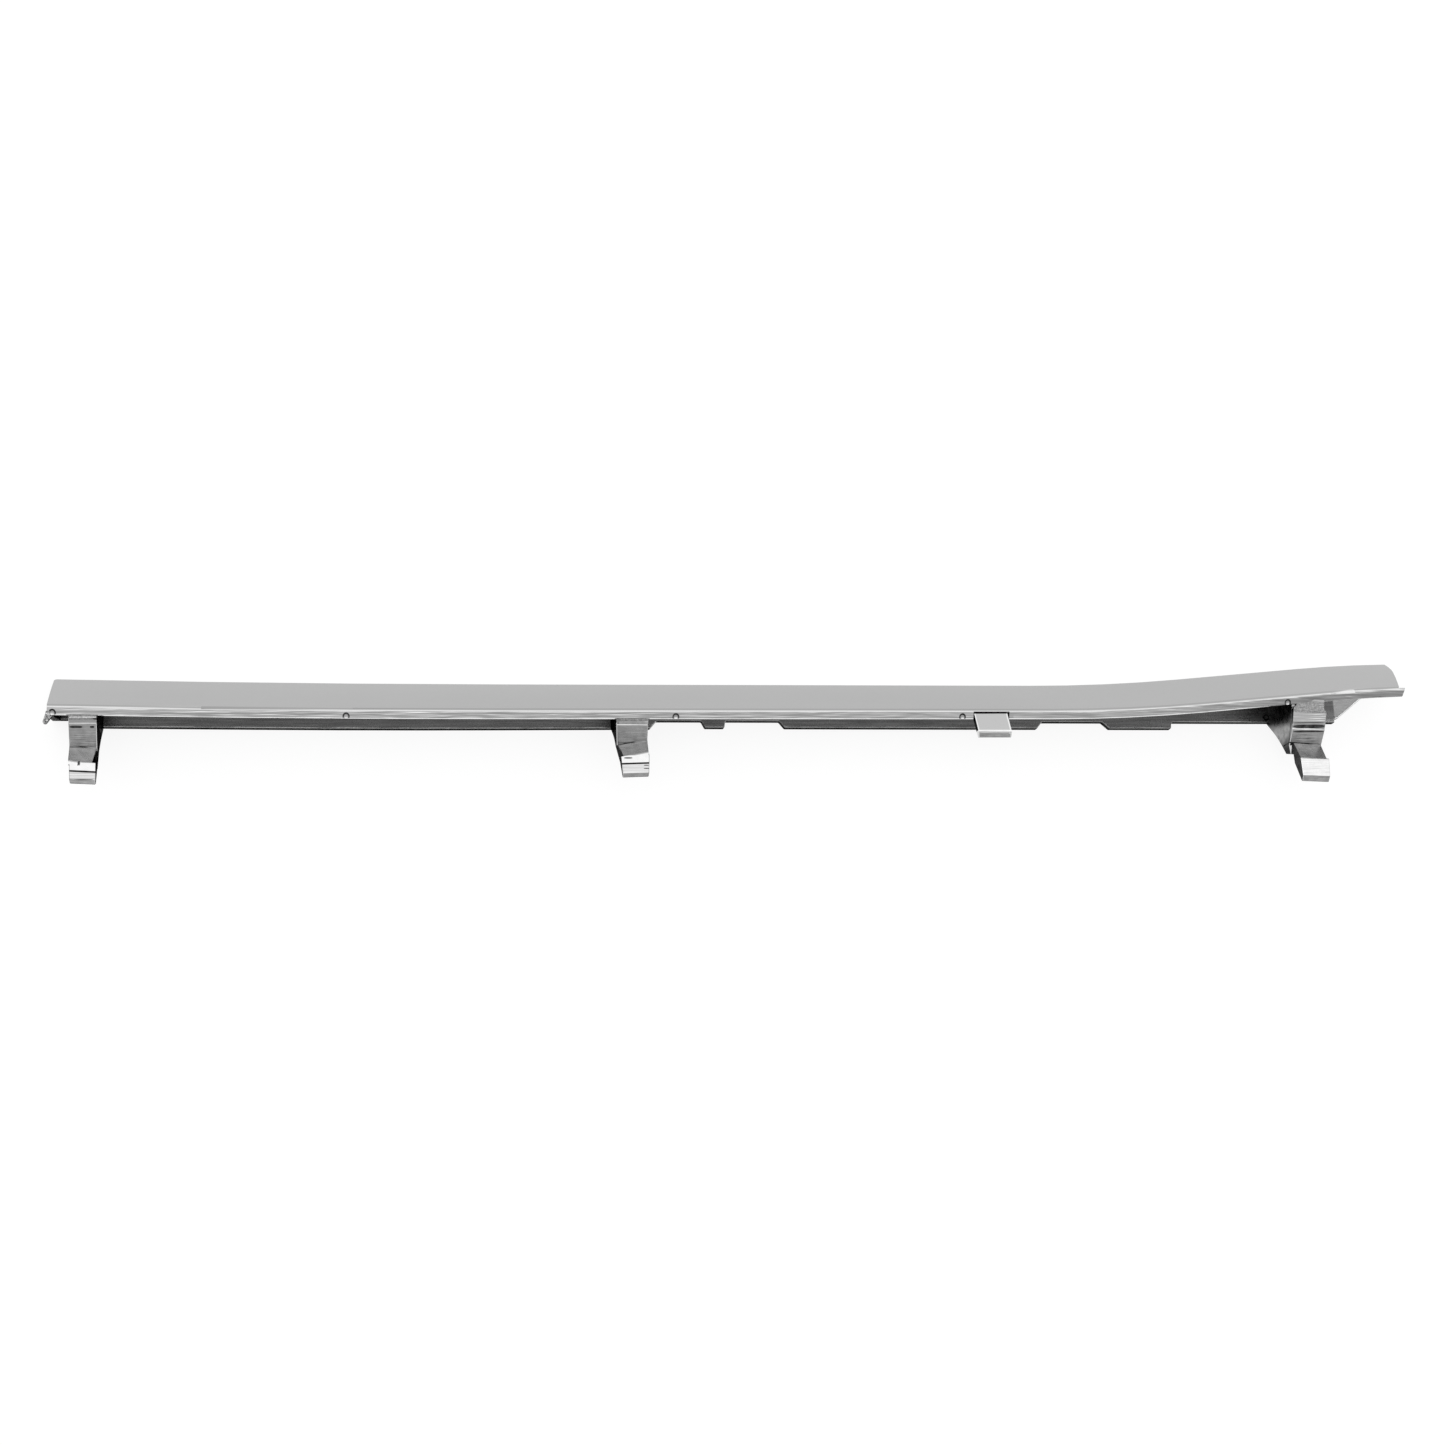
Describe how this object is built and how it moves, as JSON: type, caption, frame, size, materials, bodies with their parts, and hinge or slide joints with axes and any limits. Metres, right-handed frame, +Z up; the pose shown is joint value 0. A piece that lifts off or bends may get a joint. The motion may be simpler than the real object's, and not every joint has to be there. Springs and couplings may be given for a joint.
{
  "type": "grille trim moulding",
  "caption": "Long chrome-plated plastic trim moulding with a sloping show face, a mounting flange with tabs, snap hooks and a guide tongue.",
  "frame": {"origin": "centre of the bounding box in plan, on the floor that the flange lies on", "axes": "+X along the moulding towards its swept end, +Z up, hooks pointing to -Y"},
  "size_m": [0.5386, 0.0554, 0.026],
  "materials": {
    "chrome_plating": "polished"
  },
  "bodies": {
    "root": {"trim_moulding": "chrome_plating"}
  },
  "joints": []
}
